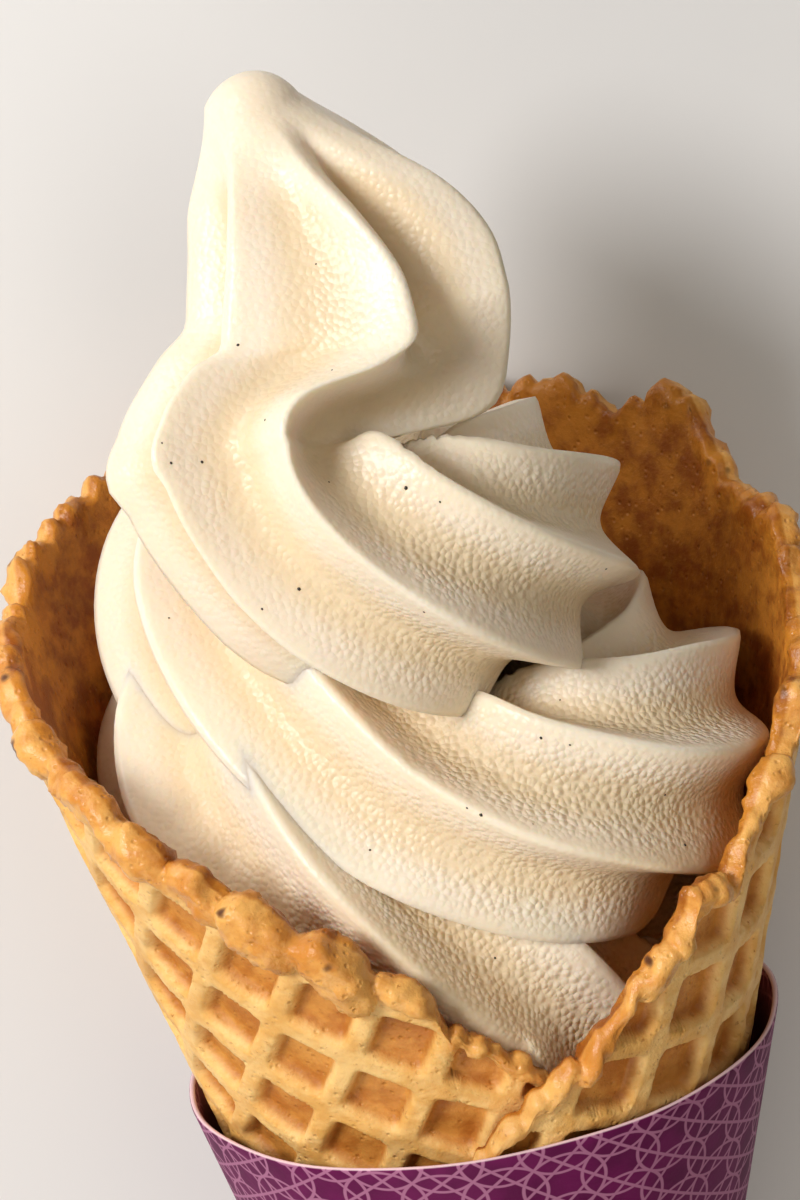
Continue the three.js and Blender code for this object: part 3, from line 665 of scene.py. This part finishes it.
# Where the peak strays from the star: row, ridge, outward pull, lean, length in rows, width in ridges.
STRAYS = [
    (0, 6, 0, -14, 3.5, 1.2), (0, 0, 0, 14, 3.5, 1.2), (0.5, 1, 1.9, 8, 5, 0.9),
    (1, 0.36, -5.6, 0, 4, 0.4), (0.5, 2, -1.5, 0, 4, 0.8),
]
WORN_ROWS = 2.2  # the grooves run out over the peak's last rows
TIP_SLANT = 35  # of the peak's sides, where its rounded tip begins

# The star nozzle: its points, the first one's azimuth, the grooves' depth and the crests' roundness.
RIDGES, FIRST_RIDGE, GROOVE, CREST = 7, -80.0, 0.30, 0.042
SQUEEZE = 0.95  # how near the skin comes to the middle of a tight bend
SHORT_STEP = 0.02  # of the coil's steps, over which its direction is measured


def along(rows, t):
    """A smooth curve through rows of numbers, one row for each whole value of t."""
    i = np.clip(np.floor(t).astype(int), 0, len(rows) - 2)
    f = (t - i)[:, None]
    longer = np.vstack([2 * rows[0] - rows[1], rows, 2 * rows[-1] - rows[-2]])
    a, b, c, d = (longer[i + k] for k in range(4))
    return b + 0.5 * f * (c - a + f * (2 * a - 5 * b + 4 * c - d + f * (3 * b - a - 3 * c + d)))


def coil_rows():
    """The coil at even steps: the rope's middle, its radius and its twist."""
    turns = np.arange(COIL[0, 0], COIL[-1, 0] + 1, COIL_STEP)
    _, x, y, radius, height, thickness, twist = along(COIL, (turns - COIL[0, 0]) / ROW_TURN).T
    for at, span, rise, turned in SWAYS:
        share = bump((turns - at) / span)
        height, twist = height + rise * share, twist + turned * share
    azimuth = np.radians(-90 - turns)
    x, y = x + radius * np.cos(azimuth), y + radius * np.sin(azimuth)
    return np.array([x, y, height, thickness, twist]).T


def ridge_place(angle):
    """The angle round the rope, counted in ridges."""
    return angle * RIDGES / (2 * math.pi)


def star_radius(angle):
    """Distance from the rope's middle to its skin, as a share of its radius, at an angle from a ridge."""
    share = (ridge_place(angle) + 0.5) % 1 - 0.5
    rounded = np.hypot(share, CREST) - CREST * (1 - 2 * np.abs(share))
    return 1 - GROOVE * (1 - (1 - 2 * np.clip(rounded, 0, 0.5)) ** 2)


def coil_skin(rows, t, angle):
    """Points of the coil's skin. Its ridges keep their azimuth and only bend over with the rope, and on the
    inside of a tight bend they are squeezed together."""
    values = along(rows, t)
    before, after = along(rows, t - SHORT_STEP)[:, :3], along(rows, t + SHORT_STEP)[:, :3]
    middle = values[:, :3]
    speed = (after - before) / (2 * SHORT_STEP)
    tangent = speed / np.linalg.norm(speed, axis=1)[:, None]
    bend = (after - 2 * middle + before) / SHORT_STEP**2
    bend = (bend - (bend * tangent).sum(1)[:, None] * tangent) / (speed**2).sum(1)[:, None]
    curvature = np.maximum(np.linalg.norm(bend, axis=1), 1e-6)
    inwards = bend / curvature[:, None]
    azimuth = angle + np.radians(FIRST_RIDGE + values[:, 4])
    reach = values[:, 3] * star_radius(angle)
    offset = np.stack([reach * np.cos(azimuth), reach * np.sin(azimuth), 0 * reach], axis=1)
    # the smallest turn that takes +Z to the tangent
    axis = np.cross([0, 0, 1.0], tangent)
    dot = (axis * offset).sum(1) / (1 + tangent[:, 2])
    offset = offset * tangent[:, 2][:, None] + np.cross(axis, offset) + axis * dot[:, None]
    depth = (offset * inwards).sum(1)
    limit = SQUEEZE / curvature
    squeezed = np.where(depth > 0, limit * np.tanh(depth / limit), depth)
    return middle + offset + (squeezed - depth)[:, None] * inwards


def peak_skin(t, angle, swell):
    """Points of the peak's skin, whose grooves run out towards the tip."""
    values = along(PEAK, t)
    star = star_radius(angle)
    worn = smooth(t, len(PEAK) - 1 - WORN_ROWS, len(PEAK) - 1)
    reach = values[:, 3] * (star + worn * (1 - GROOVE / 2 - star))
    azimuth = angle + np.radians(FIRST_RIDGE + values[:, 4])
    for at, ridge, pull, lean, length, width in STRAYS:
        off_ridge = (ridge_place(angle) - ridge + RIDGES / 2) % RIDGES - RIDGES / 2
        share = bump((t - at) / length) * bump(off_ridge / width) * (1 - worn**2)
        reach = reach + pull * share
        azimuth = azimuth + math.radians(lean) * share
    reach = reach * swell
    return values[:, :3] + np.stack([reach * np.cos(azimuth), reach * np.sin(azimuth), 0 * reach], axis=1)


def lift_section(ridges, angle):
    """Points of one section of the lift, a star drawn through its ridges."""
    loop = np.vstack([ridges[-1:], ridges, ridges[:2]])
    middle = ridges.mean(axis=0)
    return middle + (along(loop, 1 + ridge_place(angle)) - middle) * star_radius(angle)[:, None]


def rope_skin(rows, t, angle, swell):
    """Points of the whole rope's skin: the coil, then the lift, where each line of the skin swings over to
    its place on the peak, then the peak."""
    lift_to = LIFT_FROM + len(LIFT_RIDGES) + 1
    on_coil, on_peak = t < LIFT_FROM, t > lift_to
    lift = ~(on_coil | on_peak)
    points = np.empty((len(t), 3))
    points[on_coil] = coil_skin(rows, t[on_coil], angle[on_coil])
    points[on_peak] = peak_skin(t[on_peak] - lift_to, angle[on_peak], swell[on_peak])
    # each line runs through its places on the sections, and leaves the coil and meets the peak smoothly
    a, one = angle[lift], np.ones(lift.sum())
    knots = [coil_skin(rows, LIFT_FROM * one, a)] + [lift_section(ridges, a) for ridges in LIFT_RIDGES]
    knots.append(peak_skin(0 * one, a, one))
    slopes = [(knots[0] - coil_skin(rows, (LIFT_FROM - SHORT_STEP) * one, a)) / SHORT_STEP]
    slopes += [(after - before) / 2 for before, after in zip(knots, knots[2:])]
    slopes.append((peak_skin(SHORT_STEP * one, a, one) - knots[-1]) / SHORT_STEP)
    knots, slopes = np.array(knots), np.array(slopes)
    i = np.clip((t[lift] - LIFT_FROM).astype(int), 0, len(LIFT_RIDGES))
    f = (t[lift] - LIFT_FROM - i)[:, None]
    n = np.arange(len(i))
    points[lift] = (knots[i, n] * (1 - f) ** 2 * (1 + 2 * f) + knots[i + 1, n] * f**2 * (3 - 2 * f)
                    + slopes[i, n] * f * (1 - f) ** 2 - slopes[i + 1, n] * f**2 * (1 - f))
    return points


def rope_stations(rows, count, dome_count):
    """Values of t at even steps along the rope and then at its end, for the rounded tip. Gives, with them,
    the tip's share of the last radius and its height above the last row."""
    last, samples = LIFT_FROM + len(LIFT_RIDGES) + len(PEAK), 4000
    fine = np.linspace(0, last, samples)
    one = np.ones(samples)
    lines = [rope_skin(rows, fine, angle * one, one) for angle in np.radians(np.arange(0, 360, 30))]
    steps = [np.linalg.norm(np.diff(line, axis=0), axis=1) for line in lines]
    run = np.concatenate([[0], np.cumsum(np.mean(steps, axis=0))])
    places = np.linspace(0, run[-1], count)
    t = np.concatenate([np.interp(places, run, fine), np.full(dome_count, last)])
    tip = np.linspace(TIP_SLANT, 90, dome_count + 1)[1:]
    dome = np.radians(np.concatenate([np.full(count, TIP_SLANT), tip]))
    foot = math.radians(TIP_SLANT)
    rise = PEAK[-1, 3] * (np.sin(dome) - math.sin(foot)) / math.cos(foot)
    return t, np.cos(dome) / math.cos(foot), rise


# ------------------------------------------------------------------------------------------- the ice cream

# Kinks in the lines along the rope are eased by a mean of places this many steps away, with these shares.
KINK_EASING = [(-5, 0.1), (-3, 0.2), (0, 0.4), (3, 0.2), (5, 0.1)]
FIRST_EASED = 8  # the rope's first rows are left as they are
PRESSING = 1.1  # how softly the ice cream meets the wafer
CREAM_GAP = 0.45  # between the two
WAFER_REACH = 178  # the ice cream above this height isn't pressed
# The grooves' colour is painted shade.
GROOVE_FADE = (2, 0.3)  # steps before the tip between which the grooves' colour runs out

# The grain grows from the upper left to the lower right, and the peak loses a share of it.
GRAIN_LEAST, GRAIN_LEAN, GRAIN_HEIGHT, GRAIN_SPAN = 0.2, 0.8, 165, (-14, 16)
GRAIN_LOSS, GRAIN_LOSS_SPAN = 0.5, (176, 186)
# A painted warm glow on the ice cream, where it is near the wafer and low down in the cone.
GLOW_SHARE, GLOW_GAP, GLOW_SPAN = 0.6, (8, 1), (152, 134)
# Shallow random dents all over: repeats a metre, depth in metres, shift.
DENTS = [(70, 0.00028, (0, 0, 0)), (210, 0.00008, (5, 1, 3))]


def held_by_wafer(points):
    """Points beyond the wafer's inner face are pressed back to it. Gives the room left as well."""
    x, y, z = points.T
    azimuth, radius = np.arctan2(y, x), np.hypot(x, y)
    turn = (np.degrees(azimuth) - WAFER_BACK + 180) % 360 - 180
    room = SLOPE * z - (WAFER_THICKNESS + CREAM_GAP - stand_out(turn)) / COS
    over = np.clip((radius - room) / PRESSING, -40, 40)  # so that the exponential stays finite
    pressed = room - PRESSING * np.log1p(np.exp(-over))
    radius = np.where(z < WAFER_REACH, np.minimum(pressed, radius), radius)
    return np.stack([radius * np.cos(azimuth), radius * np.sin(azimuth), z], axis=1), room - radius


def make_swirl(material):
    """The rope of ice cream, from the start of its coil to the tip of its peak."""
    rows = coil_rows()
    around, count, dome_count = 154, 420, 14
    t, swell, rise = rope_stations(rows, count, dome_count)

    def shape(f, g):
        i = np.rint(g * (len(t) - 1)).astype(int)
        angle = f * 2 * math.pi
        points = 0
        for step, share in KINK_EASING:
            j = i + step * ((i > FIRST_EASED) & (t[i] < LIFT_FROM + 1))
            points = points + share * rope_skin(rows, t[j], angle, swell[j])
        points[:, 2] += rise[i]
        fade_from, fade_to = t[-1] - GROOVE_FADE[0], t[-1] - GROOVE_FADE[1]
        groove = (1 - star_radius(angle)) / GROOVE * (1 - smooth(t[i], fade_from, fade_to))
        lower_right = points[:, 0] + GRAIN_LEAN * (GRAIN_HEIGHT - points[:, 2])
        grain = GRAIN_LEAST + (1 - GRAIN_LEAST) * smooth(lower_right, *GRAIN_SPAN)
        grain = grain * (1 - GRAIN_LOSS * smooth(points[:, 2], *GRAIN_LOSS_SPAN))
        points, gap = held_by_wafer(points)
        # a painted warm glow, strongest near the wafer and low down
        painted_glow = GLOW_SHARE * smooth(gap, *GLOW_GAP) * smooth(points[:, 2], *GLOW_SPAN)
        return points, (groove, grain, painted_glow), None

    bm = skin(around, len(t) - 1, shape, ("groove", "grain", "painted_glow"))
    close_holes(bm)
    bm.normal_update()
    for v in bm.verts:
        dent = sum(noise.noise(v.co * scale + Vector(shift)) * depth for scale, depth, shift in DENTS)
        v.co += v.normal * dent
    swirl = finished("swirl", bm, material)
    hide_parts("soft_serve")
    return swirl


def make_filling(material):
    """The ice cream that fills the cone below the coil, hidden but for the gaps between the turns. Its top
    rises towards the back."""
    foot, edge, top, rise, top_radius = 18, 119, 121, 9, 27
    profile = np.array([(0, foot), (1, foot), (SLOPE * edge, edge), (SLOPE * (edge - 1), edge + 0.6), (0, top)])
    inset, least_inset = 3.4, 3.8  # from the plain cone, before and after the top is raised

    def shape(f, g):
        radius, height = along(profile, g * (len(profile) - 1)).T
        radius, height = np.maximum(radius, 0), np.clip(height, foot, top)
        azimuth = f * 2 * math.pi
        room = np.maximum(SLOPE * height - inset, 0.4) / np.maximum(SLOPE * height, 1)
        radius = radius * room
        height = height + rise * np.sin(azimuth) * (height > edge - 1) * radius / top_radius
        radius = np.minimum(radius, SLOPE * height - least_inset)
        points = np.stack([radius * np.cos(azimuth), radius * np.sin(azimuth), height], axis=1)
        # the filling takes the full grain, the full painted groove shade and the full painted warm glow
        one = np.ones_like(f)
        return points, (one, one, one), None

    bm = skin(64, 48, shape, ("groove", "grain", "painted_glow"))
    filling = finished("filling", bm, material)
    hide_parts("soft_serve")


# ------------------------------------------------------------------------------------------- the seeds

# Seeds that show from the front, by their places in the view: across, down, size.
SEEDS = [
    (238, 345, 1.0), (202, 462, 1.0), (171, 463, 0.9), (162, 443, 0.6), (406, 488, 1.3), (440, 502, 0.7),
    (299, 589, 1.2), (262, 609, 0.8), (329, 482, 0.6), (481, 815, 1.2), (467, 808, 0.7), (541, 738, 1.0),
    (570, 745, 0.7), (370, 850, 0.8), (685, 845, 1.0), (665, 795, 0.7), (338, 940, 1.0), (265, 420, 0.7),
    (332, 370, 0.6), (316, 264, 0.6), (560, 700, 0.6), (424, 612, 0.7), (495, 958, 0.8), (606, 569, 0.8),
    (169, 618, 0.7), (533, 824, 0.5),
]
SEED_RADIUS = 0.00017
SEED_FORM = (1, 0.85, 0.6)  # length, width and height, as shares
BACK_SEEDS, BACK_SEED_SIZES = 90, (0.5, 1.1)  # how many are strewn, of which those on the far side are kept
STREWING = 5  # the random draw that they are strewn by


def make_seeds(swirl, camera):
    """Seeds on the swirl's skin, in front where the view has them and strewn at random on the far side."""
    mesh = swirl.data
    tree = BVHTree.FromPolygons([v.co for v in mesh.vertices], [p.vertices for p in mesh.polygons])
    focal = camera.data.lens / camera.data.sensor_width * VIEW_HEIGHT
    turn = camera.matrix_world.to_3x3()
    places = []
    for across, down, size in SEEDS:
        way = turn @ Vector(((across - VIEW_WIDTH / 2) / focal, (VIEW_HEIGHT / 2 - down) / focal, -1))
        place, normal, _, _ = tree.ray_cast(camera.location, way)
        if place:
            places.append((place, normal, size))
    rng = np.random.default_rng(STREWING)
    for index in rng.integers(0, len(mesh.polygons), BACK_SEEDS):
        face = mesh.polygons[int(index)]
        if face.normal.dot(turn.col[2]) < 0.1:
            places.append((face.center, face.normal, rng.uniform(*BACK_SEED_SIZES)))
    bm = bmesh.new()
    for place, normal, size in places:
        radius = SEED_RADIUS * size
        lie = normal.to_track_quat("Z", "Y").to_matrix().to_4x4()
        form = Matrix.Diagonal([radius * share for share in SEED_FORM] + [1])
        matrix = Matrix.Translation(place) @ lie @ form
        bmesh.ops.create_icosphere(bm, subdivisions=1, radius=1, matrix=matrix)
    finished("vanilla_seeds", bm, seed_material())


# ------------------------------------------------------------------------------------------- the sleeve

# Faint crinkles of the paper: waves round it, lean with the height, phase, depth.
CRINKLES = [(5, 0.05, 0, 0.12), (11, 0, 1.0, 0.08)]


def make_sleeve(material):
    """The paper cone, laid as a skin from its tip up the outer face, over the cut edge and down inside."""
    slope = (SLEEVE_RADIUS - SLEEVE_TIP_RADIUS) / (SLEEVE_TOP - SLEEVE_TIP)
    outer_rows, edge_rows, inner_rows = 120, 6, 40
    total = outer_rows + edge_rows + inner_rows

    def shape(f, g):
        azimuth = math.pi / 2 + f * 2 * math.pi
        row = np.rint(g * total)
        up = np.clip((row - 1) / (outer_rows - 1), 0, 1)
        arc = np.clip((row - outer_rows) / edge_rows, 0, 1) * math.pi
        down = np.clip((row - outer_rows - edge_rows) / (inner_rows - 1), 0, 1)
        drop = SLEEVE_SLANT * (1 + np.sin(azimuth)) - SLEEVE_TILT * np.cos(azimuth)
        top = SLEEVE_TOP - PAPER / 2 - drop
        rising = SLEEVE_TIP + (top - SLEEVE_TIP) * up
        falling = top + (SLEEVE_TIP + SLEEVE_FLOOR - top) * down
        height = np.where(row <= outer_rows, rising, falling)
        skin_depth = PAPER * (0.5 + 0.5 * np.cos(arc))
        height = height + PAPER / 2 * np.sin(arc)
        radius = SLEEVE_TIP_RADIUS + slope * (height - SLEEVE_TIP) + skin_depth
        pole = (row < 0.5) | (row > total - 0.5)
        radius = np.where(pole, 0, radius)
        crinkle = sum(depth * np.sin(azimuth * count + height * lean + phase)
                      for count, lean, phase, depth in CRINKLES)
        radius = radius + crinkle * np.clip(height / 60, 0, 1) * (np.sin(azimuth) < 0.3)
        # the back lies flat on the table
        flat = SLOPE * height + (SLEEVE_GAP + skin_depth) / COS
        x = SLEEVE_OFFSET * height / SLEEVE_TOP + radius * np.cos(azimuth)
        y = np.minimum(radius * np.sin(azimuth), flat)
        unrolled, away = (f * 2 - 1) * math.pi * math.sin(math.atan(slope)), np.hypot(height, radius)
        pattern = np.stack([away * np.sin(unrolled), away * np.cos(unrolled)], axis=1)
        points = np.stack([x, y, height], axis=1)
        cut_edge = (row > outer_rows + 1) & (row < outer_rows + edge_rows)
        return points, (cut_edge * 1.0, (row > outer_rows + edge_rows) * 1.0), pattern

    bm = skin(240, total, shape, ("cut_edge", "lining"), uv=True)
    sleeve = finished("sleeve", bm, material)
    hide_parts("paper_sleeve")


# ------------------------------------------------------------------------------------------- the table

TABLE_SIZE = 3  # in metres


def make_table(material):
    """The floor that the cone lies on, which is no part of it."""
    bm = bmesh.new()
    bmesh.ops.create_grid(bm, x_segments=1, y_segments=1, size=TABLE_SIZE)
    mesh = bpy.data.meshes.new("table")
    bm.to_mesh(mesh)
    bm.free()
    mesh.materials.append(material)
    table = bpy.data.objects.new("table", mesh)
    bpy.context.scene.collection.objects.link(table)


# ------------------------------------------------------------------------------------------- the whole

camera = add_camera()
add_light()
cream = ice_cream_material()
wafer = wafer_material()
swirl = make_swirl(cream)
make_seeds(swirl, camera)
make_filling(cream)
make_wafer(wafer)
make_wafer_foot(wafer)
make_sleeve(paper_material())
make_table(table_material())
